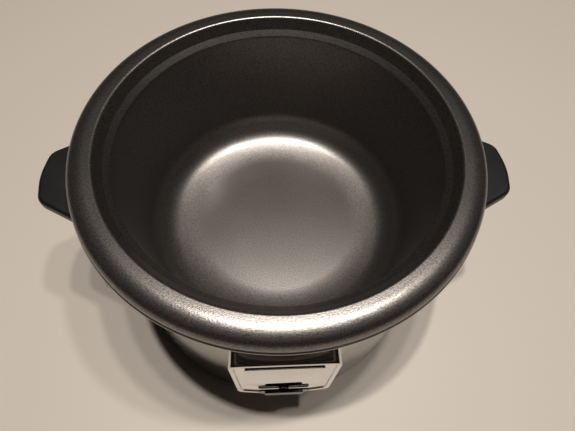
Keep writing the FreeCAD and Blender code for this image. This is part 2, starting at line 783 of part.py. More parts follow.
def handles():
    """Mould a handle for each side: a wing over a tapered grip with a finger hollow."""
    wing_foot = "(handle_top - wing_thickness)"
    grip_foot = f"({wing_foot} - grip_depth)"
    for side, name in ((-1, "left"), (1, "right")):
        body = new_body()
        pad(body, "XY_Plane", handle_outline("0"), wing_foot, "wing_thickness")
        grip = pad(body, "XY_Plane", handle_outline("grip_inset"), wing_foot, "grip_depth",
                   "0 - grip_taper")
        grip.Reversed = True
        finger_tip = "handle_tip - handle_tip_bow - grip_inset - finger_wall"
        finger_half = "(handle_tip_half - finger_wall)"
        pocket(body, "XY_Plane", [
            ("casing_top_radius + finger_root_gap", "0 - finger_root_half", "finger_round"),
            (finger_tip, f"0 - {finger_half}", "finger_round"),
            (finger_tip, finger_half, "finger_round"),
            ("casing_top_radius + finger_root_gap", "finger_root_half", "finger_round"),
        ], grip_foot, "finger_depth", True)
        top = value("handle_top")
        root = value("handle_root") + 1
        soften(body, "wing_fillet", lambda edge: edge.BoundBox.ZMin > top - 0.01
               and edge.BoundBox.XMax > root)
        place(body, axis=Z_AXIS, angle="0" if side > 0 else "180")
        bores = []
        screws = []
        plate_holes = []
        seat = ("(sqrt(pow(" + casing_radius("(handle_screw_z + handle_screw_head)")
                + " - casing_wall - fit_gap * 2 - handle_plate_wall; 2)"
                + " - pow(handle_screw_half + handle_screw_head; 2)))")
        for row_side in (-1, 1):
            y = f"{row_side} * handle_screw_half"
            length = "handle_screw_length"
            bores.append(handle_screw_line(side, y, "handle_screw_radius",
                                           "handle_root", "handle_root_depth + handle_screw_length"))
            plate_holes.append(handle_screw_line(side, y, "handle_screw_radius + fit_gap",
                                                 "handle_root", "handle_root_depth * 2"))
            shank = handle_screw_line(side, y, "handle_screw_radius", seat, length)
            head = handle_screw_line(side, y, "handle_screw_head",
                                     f"{seat} - handle_screw_radius * 1.2",
                                     "handle_screw_radius * 1.2")
            screws.append(join(shank, head))
        keep(cut(body, casing_cone(), *bores), f"handle_{name}")
        keep(group(*screws), f"handle_screws_{name}")
        inside = "(casing_wall + fit_gap)"
        foot = "(handle_screw_z - handle_plate_height / 2)"
        top_edge = "(handle_screw_z + handle_plate_height / 2)"
        plate = turned([
            (f"{casing_radius(foot)} - {inside} - handle_plate_wall", foot),
            (f"{casing_radius(foot)} - {inside}", foot),
            (f"{casing_radius(top_edge)} - {inside}", top_edge),
            (f"{casing_radius(top_edge)} - {inside} - handle_plate_wall", top_edge),
        ], "handle_plate_span", f"{90 - 90 * side} - handle_plate_span / 2")
        keep(cut(plate, *plate_holes), f"handle_plate_{name}")


def bezel_outline(inset, rounding):
    """Return the bezel's outline drawn in by an inset, flat on top and bowed at the foot."""
    corner = f"(bezel_corner_rise - bezel_below + {inset})"
    return [
        (f"0 - (bezel_top_half - {inset})", f"bezel_above - {inset}", rounding),
        (f"0 - (bezel_foot_half - {inset})", corner, rounding),
        ("0", f"{inset} * 1.15 - bezel_below", f"bezel_smile_round - {inset}"),
        (f"bezel_foot_half - {inset}", corner, rounding),
        (f"bezel_top_half - {inset}", f"bezel_above - {inset}", rounding),
    ]


def control_bezel():
    """Mould the hollow bezel with its raised border, screw bosses and shaft hole."""
    body = new_body()
    hollow_depth = "(bezel_bite + bezel_depth - bezel_recess - bezel_wall)"
    pad(body, "XZ_Plane", bezel_outline("0", "bezel_corner_round"), "0 - bezel_bite",
        "bezel_bite + bezel_depth")
    front = value("bezel_depth")
    soften(body, "bezel_edge_round", lambda edge: edge.BoundBox.YMax < 0.01 - front)
    pocket(body, "XZ_Plane", bezel_outline("bezel_border", "bezel_corner_round - bezel_border"),
           "bezel_depth", "bezel_recess")
    pocket(body, "XZ_Plane", bezel_outline("bezel_wall", "bezel_corner_round - bezel_wall"),
           "0 - bezel_bite", hollow_depth, True)
    stand_on_front(body, "knob_z")
    bosses = []
    holes = [casing_cone(), front_rod("shaft_radius + shaft_hole_gap", 0, "knob_z",
                                      "bezel_bite", "bezel_bite + bezel_depth")]
    for side in (-1, 1):
        x = f"{side} * bezel_screw_half"
        bosses.append(front_rod("bezel_boss_radius", x, "bezel_screw_z", "bezel_bite",
                                "bezel_depth - bezel_recess - bezel_wall / 2"))
        holes.append(front_rod("bezel_screw_radius", x, "bezel_screw_z", "bezel_bite * 2",
                               "bezel_depth - bezel_recess - bezel_wall"))
    keep(cut(join(body, *bosses), *holes), "control_bezel")

    panel = new_body()
    corner = "(panel_above_knob + panel_corner_rise)"
    panel_top = "bezel_above - panel_top_gap"
    pad(panel, "XZ_Plane", [
        ("0 - panel_half", panel_top, "panel_corner_round"),
        ("0 - panel_half + panel_edge_round * 3", corner, "panel_corner_round"),
        ("0", "panel_above_knob", "panel_smile_round"),
        ("panel_half - panel_edge_round * 3", corner, "panel_corner_round"),
        ("panel_half", panel_top, "panel_corner_round"),
    ], "bezel_depth - bezel_recess", "panel_thickness")
    face = value("bezel_depth - bezel_recess + panel_thickness")
    soften(panel, "panel_edge_round", lambda edge: edge.BoundBox.YMax < 0.01 - face)
    keep(stand_on_front(panel, "knob_z"), "bezel_panel")

    screws = []
    for side in (-1, 1):
        x = f"{side} * bezel_screw_half"
        shank = front_rod("bezel_screw_radius", x, "bezel_screw_z",
                          "bezel_screw_setback + bezel_screw_radius",
                          "bezel_depth - bezel_recess - bezel_wall * 2")
        head = front_rod("bezel_screw_radius * 2", x, "bezel_screw_z",
                         "bezel_screw_setback + bezel_screw_radius", "0 - bezel_screw_setback")
        screws.append(join(shank, head))
    keep(group(*screws), "bezel_screws")


def selector():
    """Make the rotary selector: switch, bush nut, bracket, shaft, skirt and grip."""
    body = new_body()
    pad(body, "XZ_Plane", rectangle("switch_half", "switch_half"), "0 - switch_back",
        "switch_depth")
    stand_on_front(body, "knob_z")
    bush = front_rod("bush_radius", 0, "knob_z", "switch_setback + 1", "bush_length")
    tabs = []
    for side in (-1, 1):
        tabs.append(front_rod("wire_radius", f"{side} * switch_tab_half", "knob_z",
                              "switch_back + switch_tab_length", "0 - switch_back + 1"))
    bore = front_rod("shaft_radius + shaft_running_gap", 0, "knob_z",
                     "shaft_inside + shaft_hole_gap", "bush_length")
    keep(cut(join(body, bush, *tabs), bore), "rotary_switch")

    plate = new_body()
    pad(plate, "XZ_Plane", rectangle("bracket_half", "switch_half"), "0 - switch_setback",
        "bracket_thickness")
    stand_on_front(plate, "knob_z")
    keep(cut(plate, front_rod("bush_radius + fit_gap", 0, "knob_z", "switch_back", "0")),
         "switch_bracket")

    hexagon = primitive("Prism", Circumradius="bush_nut_radius", Height="bush_nut_height")
    place(hexagon, *front_spot(0, "knob_z", "(0 - fit_gap)"), X_AXIS, "90 deg - atan(casing_slope)")
    keep(cut(hexagon, front_rod("bush_radius", 0, "knob_z", "0", "bush_length * 2")),
         "bush_nut")

    shaft_end = "grip_back + grip_base_thickness"
    keep(front_rod("shaft_radius", 0, "knob_z", "shaft_inside", shaft_end), "switch_shaft")

    skirt = front_rod("skirt_radius", 0, "knob_z", "skirt_sink - bezel_depth", "grip_back")
    keep(cut(skirt, front_rod("shaft_radius", 0, "knob_z", "0", "grip_back * 2")), "knob_skirt")

    grip = new_body()
    pad(grip, "XZ_Plane", rectangle("grip_base_length / 2", "grip_base_height / 2"),
        "grip_back", "grip_base_thickness")
    pad(grip, "XZ_Plane", rectangle("grip_length / 2", "grip_height / 2"),
        "grip_back + grip_base_thickness", "grip_thickness")
    face = value("grip_back + grip_base_thickness + grip_thickness")
    soften(grip, "grip_end_round", lambda edge: is_along(edge, Y_AXIS))
    soften(grip, "grip_edge_round", lambda edge: edge.BoundBox.YMax < 0.01 - face)
    stand_on_front(grip, "knob_z")
    bore = front_rod("shaft_radius", 0, "knob_z", "0", shaft_end)
    keep(cut(grip, bore), "knob_grip")


def is_along(edge, axis):
    """Tell whether an edge is straight and runs along an axis."""
    if not isinstance(edge.Curve, Part.Line):
        return False
    return abs(edge.tangentAt(edge.FirstParameter).dot(axis)) > 0.999


def cord_inlet():
    """Make the gland for the mains lead at the back, and the nut that holds it."""
    flange = turned([
        ("gland_bore", "0 - gland_inside / 2"),
        ("gland_radius", "0 - gland_inside / 2"),
        ("gland_radius", "gland_reach / 3", "gland_bore / 2"),
        ("gland_radius * 0.6", "gland_reach"),
        ("gland_bore", "gland_reach"),
    ])
    place(flange, 0, "gland_seat", "gland_height", X_AXIS, "0 - 90")
    barrel = turned([
        ("gland_bore", "0 - gland_inside"),
        ("gland_barrel_radius", "0 - gland_inside"),
        ("gland_barrel_radius", "1"),
        ("gland_bore", "1"),
    ])
    place(barrel, 0, "gland_seat", "gland_height", X_AXIS, "0 - 90")
    keep(join(cut(flange, casing_cone()), barrel), "cord_gland")

    seat = ("(sqrt(pow(gland_seat - casing_wall - casing_slope * gland_nut_radius; 2)"
            " - pow(gland_nut_radius; 2)) - gland_nut_height - fit_gap)")
    hexagon = primitive("Prism", Circumradius="gland_nut_radius", Height="gland_nut_height")
    place(hexagon, 0, seat, "gland_height", X_AXIS, "0 - 90")
    keep(cut(hexagon, rod("gland_barrel_radius", "gland_nut_height * 3", 0,
                          f"{seat} - gland_nut_height", "gland_height", X_AXIS, "0 - 90")),
         "gland_nut")


def wiring():
    """Fit the terminal block and earth screw, and run the wires between the working pieces."""
    holes = []
    for place_x in (-1, 0, 1):
        holes.append(rod("block_hole_radius", "block_height / 3", f"{place_x} * block_length / 3",
                         "block_y", "casing_foot + block_height * 2 / 3"))
    body = block("block_length", "block_width", "block_height", 0, "block_y", "casing_foot")
    keep(cut(body, *holes), "terminal_block")
    keep(rod("earth_screw_radius", "earth_screw_height", "earth_x", "earth_y", "casing_foot"),
         "earth_screw")

    middle = "(reflector_z / 2)"
    drop = "(switch_back + switch_tab_length + wire_bend)"
    tab_x = "(tab_place * sin(tab_angle))"
    tab_y = "(tab_place * cos(tab_angle))"
    block_face = "(block_y - block_width / 2)"
    block_end = "(block_length / 2)"
    live_x = "(0 - block_length / 3)"
    detour_x = "(0 - tray_dimple_radius - tray_dimple_rise - wire_bend * 3)"
    tab_left = "(0 - switch_tab_half)"
    tab_end = "(switch_back + switch_tab_length)"
    switch_end = front_spot(tab_left, "knob_z", tab_end)
    switch_turn = front_spot(tab_left, "knob_z", drop)
    wire("wire_live", [
        switch_end, switch_turn, (switch_turn[0], switch_turn[1], "block_z"),
        (detour_x, "0", "block_z"), (live_x, f"{block_face} - wire_bend * 4", "block_z"),
        (live_x, block_face, "block_z"),
    ])
    switch_end = front_spot("switch_tab_half", "knob_z", tab_end)
    switch_turn = front_spot("switch_tab_half", "knob_z", drop)
    wire("wire_switched", [
        switch_end, switch_turn, (switch_turn[0], switch_turn[1], middle),
        ("fuse_start - wire_bend * 3", "fuse_y", middle),
        ("fuse_start - wire_bend * 3", "fuse_y", "fuse_z"), ("fuse_start", "fuse_y", "fuse_z"),
    ])
    fuse_end = "(fuse_start + fuse_length)"
    wire("wire_fused", [
        (fuse_end, "fuse_y", "fuse_z"), (f"{fuse_end} + wire_bend * 3", "fuse_y", "fuse_z"),
        (f"{fuse_end} + wire_bend * 3", "fuse_y", middle), (tab_x, tab_y, middle),
        (tab_x, tab_y, "heater_foot - tab_length"),
    ])
    wire("wire_neutral", [
        (f"0 - {block_end}", "block_y", "block_z"), (f"0 - {tab_x}", "block_y", "block_z"),
        (f"0 - {tab_x}", tab_y, middle), (f"0 - {tab_x}", tab_y, "heater_foot - tab_length"),
    ])
    wire("wire_earth", [
        (block_end, "block_y", "block_z"), (f"{block_end} + wire_bend * 2", "block_y", "block_z"),
        ("earth_x", "block_y", "block_z + wire_bend * 2"),
        ("earth_x", "earth_y", "block_z + wire_bend * 2"),
        ("earth_x", "earth_y", "casing_foot + earth_screw_height"),
    ])


def check(thing):
    """Stop if an object failed to build or a node's shape isn't sound."""
    if "Invalid" in thing.State or "Error" in thing.State:
        raise RuntimeError(f"{thing.Label} did not build: {thing.State}")
    if thing in nodes and (thing.Shape.isNull() or not thing.Shape.isValid()):
        raise RuntimeError(f"{thing.Label} has no sound shape")


for build in (outer_casing, casing_collar, heating_well, heater, under_the_well, base_tray,
              rubber_feet, handles, control_bezel, selector, cord_inlet, wiring, cooking_pot):
    build()
doc.recompute()
for thing in doc.Objects:
    check(thing)
os.makedirs("parts", exist_ok=True)
for node in nodes:
    node.Shape.exportStep(f"parts/{node.Label}.step")
    print(node.Label, len(node.Shape.Solids), round(node.Shape.Volume))
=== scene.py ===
import json
import logging
import math
from dataclasses import dataclass
from enum import Enum
from typing import Optional, Sequence, Union

import bmesh
import bpy
from mathutils import Matrix, Vector


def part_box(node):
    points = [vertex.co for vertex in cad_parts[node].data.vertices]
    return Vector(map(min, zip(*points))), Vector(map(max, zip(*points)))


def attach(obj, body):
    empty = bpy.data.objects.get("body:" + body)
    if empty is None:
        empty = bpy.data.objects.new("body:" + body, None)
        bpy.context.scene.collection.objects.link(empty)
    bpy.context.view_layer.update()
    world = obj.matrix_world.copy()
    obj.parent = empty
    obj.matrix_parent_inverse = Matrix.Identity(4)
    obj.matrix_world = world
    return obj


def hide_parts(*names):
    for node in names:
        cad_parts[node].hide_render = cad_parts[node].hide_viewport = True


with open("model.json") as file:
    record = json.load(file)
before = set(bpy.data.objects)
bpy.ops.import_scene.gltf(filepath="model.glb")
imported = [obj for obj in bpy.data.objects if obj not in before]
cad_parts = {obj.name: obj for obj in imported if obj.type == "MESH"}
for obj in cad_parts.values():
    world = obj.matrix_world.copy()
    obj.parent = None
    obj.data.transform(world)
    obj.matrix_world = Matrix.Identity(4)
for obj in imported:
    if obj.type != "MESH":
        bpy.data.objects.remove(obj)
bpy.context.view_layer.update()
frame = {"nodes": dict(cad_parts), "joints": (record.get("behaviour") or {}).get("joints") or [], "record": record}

log = logging.getLogger("slow_cooker")

Spot = tuple[float, float]
Corner = tuple[float, ...]
Operand = Union[float, "Value"]
Given = Union[float, tuple[float, ...], "Value"]

FULL_TURN = 2.0 * math.pi


# --------------------------------------------------------------------------- shader graphs


class Value:
    """A shader socket on which Python arithmetic adds Math nodes."""

    def __init__(self, graph: "Graph", socket: bpy.types.NodeSocket) -> None:
        """Wrap a socket of a graph."""
        self.graph = graph
        self.socket = socket

    def _math(self, operation: str, *operands: Operand) -> "Value":
        """Add a Math node and return its result."""
        return self.graph.node("ShaderNodeMath", {"operation": operation}, dict(enumerate(operands)))

    def __add__(self, other: Operand) -> "Value":
        """Add."""
        return self._math("ADD", self, other)

    def __radd__(self, other: Operand) -> "Value":
        """Add, from the right."""
        return self._math("ADD", other, self)

    def __sub__(self, other: Operand) -> "Value":
        """Subtract."""
        return self._math("SUBTRACT", self, other)

    def __rsub__(self, other: Operand) -> "Value":
        """Subtract, from the right."""
        return self._math("SUBTRACT", other, self)

    def __mul__(self, other: Operand) -> "Value":
        """Multiply."""
        return self._math("MULTIPLY", self, other)

    def __rmul__(self, other: Operand) -> "Value":
        """Multiply, from the right."""
        return self._math("MULTIPLY", other, self)

    def __truediv__(self, other: Operand) -> "Value":
        """Divide."""
        return self._math("DIVIDE", self, other)

    def __rtruediv__(self, other: Operand) -> "Value":
        """Divide, from the right."""
        return self._math("DIVIDE", other, self)

    def __pow__(self, other: Operand) -> "Value":
        """Raise to a power."""
        return self._math("POWER", self, other)

    def eased(self, low: float, high: float) -> "Value":
        """Return 0 below low, 1 above high and a smooth step between."""
        settings = {"interpolation_type": "SMOOTHSTEP"}
        return self.graph.node("ShaderNodeMapRange", settings, {0: self, 1: low, 2: high})


class Graph:
    """The node tree of one material."""

    def __init__(self, name: str) -> None:
        """Start an empty material."""
        self.material = bpy.data.materials.new(name)
        self.material.use_nodes = True
        self.tree = self.material.node_tree
        self.tree.nodes.clear()

    def node(self, kind: str, settings: Optional[dict] = None, inputs: Optional[dict] = None,
             output: Union[int, str] = 0) -> Value:
        """Add any node.

        Args:
            kind: The node's type name.
            settings: Its properties, which are set first.
            inputs: Constants or values for its sockets, by name or number.
            output: The socket to return.

        Returns:
            The chosen output.
        """
        made = self.tree.nodes.new(kind)
        for name, setting in (settings or {}).items():
            setattr(made, name, setting)
        for key, given in (inputs or {}).items():
            if isinstance(given, Value):
                self.tree.links.new(given.socket, made.inputs[key])
            else:
                made.inputs[key].default_value = given
        return Value(self, made.outputs[output])

    def position(self, stretch: tuple[float, float, float] = (1.0, 1.0, 1.0)) -> Value:
        """Return the place on the object in metres, stretched along each axis."""
        place = self.node("ShaderNodeTexCoord", output="Object")
        if stretch == (1.0, 1.0, 1.0):
            return place
        return self.node("ShaderNodeVectorMath", {"operation": "MULTIPLY"}, {0: place, 1: stretch})

    def noise(self, grain: float, detail: float = 2.0, roughness: float = 0.5,
              stretch: tuple[float, float, float] = (1.0, 1.0, 1.0)) -> Value:
        """Return noise from 0 to 1 whose features are about one grain across, in metres."""
        return self.node("ShaderNodeTexNoise", None, {
            "Vector": self.position(stretch), "Scale": 1.0 / grain, "Detail": detail,
            "Roughness": roughness}, "Fac")

    def cells(self, size: float, output: str = "Distance") -> Value:
        """Return a Voronoi pattern whose cells are about one size across, in metres."""
        return self.node("ShaderNodeTexVoronoi", None, {
            "Vector": self.position(), "Scale": 1.0 / size}, output)

    def blend(self, factor: Operand, first: Given, second: Given) -> Value:
        """Mix two colours by a factor."""
        colours = [(*given, 1.0) if isinstance(given, tuple) else given for given in (first, second)]
        return self.node("ShaderNodeMix", {"data_type": "RGBA"},
                         {0: factor, 6: colours[0], 7: colours[1]}, 2)

    def bump(self, height: Value, depth: float, strength: float = 1.0) -> Value:
        """Return a normal roughened by a height pattern of a depth in metres."""
        return self.node("ShaderNodeBump", None, {
            "Strength": strength, "Distance": depth, "Height": height})

    def surface(self, **inputs: Given) -> bpy.types.Material:
        """Finish the material with a Principled shader.

        Args:
            inputs: Its sockets by name, with underscores for spaces.

        Returns:
            The finished material.
        """
        named = {name.replace("_", " "): given for name, given in inputs.items()}
        shader = self.node("ShaderNodeBsdfPrincipled", None, named)
        self.node_to_output(shader)
        return self.material

    def node_to_output(self, shader: Value) -> None:
        """Link a shader to the material's output."""
        target = self.tree.nodes.new("ShaderNodeOutputMaterial")
        self.tree.links.new(shader.socket, target.inputs["Surface"])


# --------------------------------------------------------------------------- finishes


@dataclass(frozen=True)
class NonstickCoating:
    """A satin non-stick coating with fine metallic grain and a few darker specks."""

    colour: tuple[float, float, float] = (0.27, 0.253, 0.241)
    dark: tuple[float, float, float] = (0.07, 0.065, 0.063)
    roughness: float = 0.32
    grain: float = 0.001
    grain_depth: float = 0.00014
    speck: float = 0.0016
    speck_colour: tuple[float, float, float] = (0.05, 0.045, 0.045)
    mottle: float = 0.045

    def made(self, name: str) -> bpy.types.Material:
        """Build the material."""
        graph = Graph(name)
        fine = graph.noise(self.grain, 2.0, 0.7)
        broad = graph.noise(self.mottle, 2.0, 0.5)
        specks = graph.cells(self.speck)
        lightness = 0.25 + 0.75 * fine.eased(0.28, 0.66)
        base = graph.blend(lightness, self.dark, self.colour)
        pits = graph.blend((0.16 - specks).eased(0.0, 0.08) * broad.eased(0.45, 0.6), base,
                           self.speck_colour)
        return graph.surface(
            Base_Color=pits,
            Metallic=0.94,
            Roughness=self.roughness + 0.05 * broad - 0.04 * fine,
            Normal=graph.bump(fine, self.grain_depth, 0.6))


@dataclass(frozen=True)
class SpunMetal:
    """Bright metal with faint lines left all round it by polishing or turning."""

    colour: tuple[float, float, float] = (0.72, 0.7, 0.67)
    roughness: float = 0.09
    line: float = 0.0006
    line_depth: float = 0.0000012
    smudge: float = 0.07

    def made(self, name: str) -> bpy.types.Material:
        """Build the material."""
        graph = Graph(name)
        lines = graph.noise(self.line, 2.0, 0.6, (0.02, 0.02, 1.0))
        smudges = graph.noise(0.03, 4.0, 0.6)
        patches = graph.noise(0.012, 3.0, 0.55)
        dull = tuple(0.86 * part for part in self.colour)
        return graph.surface(
            Base_Color=graph.blend(patches.eased(0.35, 0.7) * 0.5 + lines * 0.3, self.colour, dull),
            Metallic=1.0,
            Roughness=self.roughness + self.smudge * smudges.eased(0.4, 0.75) + 0.05 * lines,
            Normal=graph.bump(lines, self.line_depth))


@dataclass(frozen=True)
class BrightChrome:
    """Plated chrome with faint finger marks."""

    colour: tuple[float, float, float] = (0.8, 0.785, 0.76)
    roughness: float = 0.035

    def made(self, name: str) -> bpy.types.Material:
        """Build the material."""
        graph = Graph(name)
        marks = graph.noise(0.009, 4.0, 0.65)
        ripple = graph.noise(0.02, 1.0, 0.4)
        dull = tuple(0.9 * part for part in self.colour)
        return graph.surface(
            Base_Color=graph.blend(marks.eased(0.45, 0.8), self.colour, dull),
            Metallic=1.0,
            Roughness=self.roughness + 0.06 * marks.eased(0.5, 0.8),
            Normal=graph.bump(ripple, 0.00004))


@dataclass(frozen=True)
class Moulded:
    """Moulded plastic or rubber with a fine spark-eroded grain."""

    colour: tuple[float, float, float] = (0.0055, 0.0058, 0.0068)
    roughness: float = 0.34
    grain: float = 0.0009
    depth: float = 0.00004
    coat: float = 0.0

    def made(self, name: str) -> bpy.types.Material:
        """Build the material."""
        graph = Graph(name)
        pits = graph.cells(self.grain)
        flow = graph.noise(0.02, 3.0, 0.5)
        dust = graph.noise(0.0016, 2.0, 0.6)
        pale = tuple(1.4 * part + 0.003 for part in self.colour)
        return graph.surface(
            Base_Color=graph.blend(flow * 0.35 + dust.eased(0.6, 0.78) * 0.4, self.colour, pale),
            Roughness=self.roughness + 0.08 * flow + 0.05 * pits,
            Coat_Weight=self.coat,
            Coat_Roughness=0.12,
            Normal=graph.bump(pits, self.depth, 0.7))


@dataclass(frozen=True)
class Plated:
    """Zinc-plated or galvanised sheet with soft spangles."""

    colour: tuple[float, float, float] = (0.52, 0.52, 0.53)
    roughness: float = 0.3
    spangle: float = 0.006

    def made(self, name: str) -> bpy.types.Material:
        """Build the material."""
        graph = Graph(name)
        spangles = graph.node("ShaderNodeSeparateColor", None, {0: graph.cells(self.spangle, "Color")})
        stains = graph.noise(0.015, 4.0, 0.6)
        dark = tuple(0.72 * part for part in self.colour)
        return graph.surface(
            Base_Color=graph.blend(0.6 * spangles + 0.4 * stains.eased(0.4, 0.7), self.colour, dark),
            Metallic=1.0,
            Roughness=self.roughness + 0.12 * spangles + 0.08 * stains,
            Normal=graph.bump(stains, 0.00003))


@dataclass(frozen=True)
class NeedledFelt:
    """Needled glass felt, or with finer settings pressed mica board."""

    colour: tuple[float, float, float] = (0.78, 0.75, 0.68)
    fibre: float = 0.0012
    depth: float = 0.0004

    def made(self, name: str) -> bpy.types.Material:
        """Build the material."""
        graph = Graph(name)
        fibres = graph.noise(self.fibre, 4.0, 0.75, (1.0, 1.0, 0.4))
        blots = graph.noise(0.018, 3.0, 0.6)
        dark = tuple(0.6 * part for part in self.colour)
        return graph.surface(
            Base_Color=graph.blend(0.5 * fibres + 0.5 * blots, self.colour, dark),
            Roughness=0.86 + 0.1 * fibres,
            Normal=graph.bump(fibres, self.depth))


class Coat(Enum):
    """The finishes of the cooker's pieces."""

    NONSTICK = NonstickCoating()
    BARE_EDGE = SpunMetal(colour=(0.42, 0.4, 0.38), roughness=0.34, smudge=0.08)
    CASING = SpunMetal()
    LINER = SpunMetal(colour=(0.5, 0.5, 0.5), roughness=0.3, smudge=0.12, line_depth=0.000006)
    CHROME = BrightChrome()
    COLLAR = Moulded(colour=(0.014, 0.014, 0.015), roughness=0.5)
    HANDLE = Moulded()
    TRAY = Moulded(colour=(0.016, 0.016, 0.017), roughness=0.48, grain=0.0012)
    GRIP = Moulded(colour=(0.006, 0.006, 0.009), roughness=0.16, depth=0.00001, coat=0.5)
    FOOT = Moulded(colour=(0.018, 0.018, 0.018), roughness=0.74, grain=0.0006)
    PLATED = Plated()
    BRASS = Plated(colour=(0.66, 0.5, 0.24), roughness=0.26, spangle=0.002)
    MICA = NeedledFelt(colour=(0.46, 0.36, 0.24), fibre=0.0006, depth=0.0001)
    FELT = NeedledFelt()
    CERAMIC = Moulded(colour=(0.62, 0.6, 0.54), roughness=0.4, grain=0.0007)
    BROWN_WIRE = Moulded(colour=(0.16, 0.06, 0.025), roughness=0.45, grain=0.0004)
    BLUE_WIRE = Moulded(colour=(0.02, 0.08, 0.36), roughness=0.45, grain=0.0004)
    EARTH_WIRE = Moulded(colour=(0.22, 0.38, 0.03), roughness=0.45, grain=0.0004)

    def material(self) -> bpy.types.Material:
        """Return the finish's material, built once."""
        name = self.name.lower()
        return bpy.data.materials.get(name) or self.value.made(name)


# --------------------------------------------------------------------------- mesh building


def rounded(corners: Sequence[Corner], closed: bool, arc_steps: int = 8,
            side_steps: int = 1) -> list[Spot]:
    """Trace an outline through corners, with arcs at those that state a rounding.

    Args:
        corners: (x, y) or (x, y, rounding) in the order of drawing.
        closed: Whether the last corner joins the first.
        arc_steps: Spans in each arc.
        side_steps: Spans in each straight side.

    Returns:
        The outline's points.
    """
    count = len(corners)
    stations: list[list[Vector]] = []
    for index, corner in enumerate(corners):
        spot = Vector(corner[:2])
        at_end = not closed and index in (0, count - 1)
        if len(corner) < 3 or at_end:
            stations.append([spot])
            continue
        back = (Vector(corners[index - 1][:2]) - spot).normalized()
        ahead = (Vector(corners[(index + 1) % count][:2]) - spot).normalized()
        half = back.angle(ahead) / 2.0
        centre = spot + (back + ahead).normalized() * (corner[2] / math.sin(half))
        entry = spot + back * (corner[2] / math.tan(half)) - centre
        leave = spot + ahead * (corner[2] / math.tan(half)) - centre
        sweep = entry.angle_signed(leave)
        arc = []
        for step in range(arc_steps + 1):
            turn = Matrix.Rotation(-sweep * step / arc_steps, 2)
            arc.append(centre + turn @ entry)
        stations.append(arc)
    points: list[Vector] = []
    for index, station in enumerate(stations):
        points.extend(station)
        if index == count - 1 and not closed:
            break
        start, end = station[-1], stations[(index + 1) % count][0]
        points.extend(start.lerp(end, step / side_steps) for step in range(1, side_steps))
    return [(point.x, point.y) for point in points]


def sheet_loop(path: Sequence[Spot], wall: float) -> list[Spot]:
    """Give an open path a wall on its right and return the closed outline of the two."""
    other = []
    for index, spot in enumerate(path):
        before = Vector(path[max(index - 1, 0)])
        after = Vector(path[min(index + 1, len(path) - 1)])
        here = Vector(spot)
        rights = []
        for first, second in ((before, here), (here, after)):
            if (second - first).length > 1e-9:
                way = (second - first).normalized()
                rights.append(Vector((way.y, -way.x)))
        right = (rights[0] + rights[-1]).normalized()
        reach = wall / max(right.dot(rights[0]), 0.3)
        other.append(tuple(here + right * reach))
    return [*path, *reversed(other)]


def circle_loop(centre: Spot, radius: float, steps: int = 16) -> list[Spot]:
    """Return the points of a circle."""
    return [(centre[0] + radius * math.cos(FULL_TURN * step / steps),
             centre[1] + radius * math.sin(FULL_TURN * step / steps)) for step in range(steps)]


class Form:
    """A mesh made of rings of points joined by faces."""

    def __init__(self, name: str, place: Optional[Matrix] = None) -> None:
        """Start an empty form whose points are given in its place's own axes."""
        self.name = name
        self.place = place or Matrix.Identity(4)
        self.mesh = bmesh.new()

    def ring(self, points: Sequence[Sequence[float]]) -> list[bmesh.types.BMVert]:
        """Add a ring of points."""
        return [self.mesh.verts.new(self.place @ Vector(point)) for point in points]

    def bridge(self, first: list[bmesh.types.BMVert], second: list[bmesh.types.BMVert]) -> None:
        """Join two rings by faces; a ring of one point is a tip."""
        count = max(len(first), len(second))
        for index in range(count):
            after = (index + 1) % count
            if len(first) == 1:
                self.mesh.faces.new((first[0], second[index], second[after]))
            elif len(second) == 1:
                self.mesh.faces.new((first[index], second[0], first[after]))
            else:
                self.mesh.faces.new((first[index], second[index], second[after], first[after]))

    def cover(self, ring: list[bmesh.types.BMVert]) -> None:
        """Close a ring with one face."""
        self.mesh.faces.new(ring)

    def stack(self, rings: Sequence[list[bmesh.types.BMVert]]) -> None:
        """Join rings in turn."""
        for first, second in zip(rings, rings[1:]):
            self.bridge(first, second)

    def spin(self, path: Sequence[Spot], segments: int = 256) -> None:
        """Turn an outline about the form's Z axis.

        Args:
            path: (radius, height) points; it closes on itself unless both ends lie on the axis.
            segments: Spans all round.
        """
        rings = []
        for radius, height in path:
            if abs(radius) < 1e-7:
                rings.append(self.ring([(0.0, 0.0, height)]))
                continue
            rings.append(self.ring([
                (radius * math.cos(FULL_TURN * step / segments),
                 radius * math.sin(FULL_TURN * step / segments), height)
                for step in range(segments)]))
        self.stack(rings)
        if len(rings[0]) > 1:
            self.bridge(rings[-1], rings[0])

    def finished(self, coat: Coat, body: str, replaces: Sequence[str] = (),
                 sharp: float = 32.0) -> bpy.types.Object:
        """Make the form into a piece.

        Args:
            coat: Its finish.
            body: The body that it rides on.
            replaces: The CAD nodes that it stands for.
            sharp: The angle in degrees over which an edge isn't smoothed.

        Returns:
            The new object.
        """
        bmesh.ops.remove_doubles(self.mesh, verts=self.mesh.verts, dist=1e-7)
        bmesh.ops.recalc_face_normals(self.mesh, faces=self.mesh.faces)
        for face in self.mesh.faces:
            face.smooth = True
        data = bpy.data.meshes.new(self.name)
        self.mesh.to_mesh(data)
        self.mesh.free()
        data.set_sharp_from_angle(angle=math.radians(sharp))
        data.materials.append(coat.material())
        piece = bpy.data.objects.new(self.name, data)
        bpy.context.scene.collection.objects.link(piece)
        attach(piece, body)
        if replaces:
            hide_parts(*replaces)
        log.info("%s: %d faces, rides on %s", self.name, len(data.polygons), body)
        return piece


# --------------------------------------------------------------------------- pieces


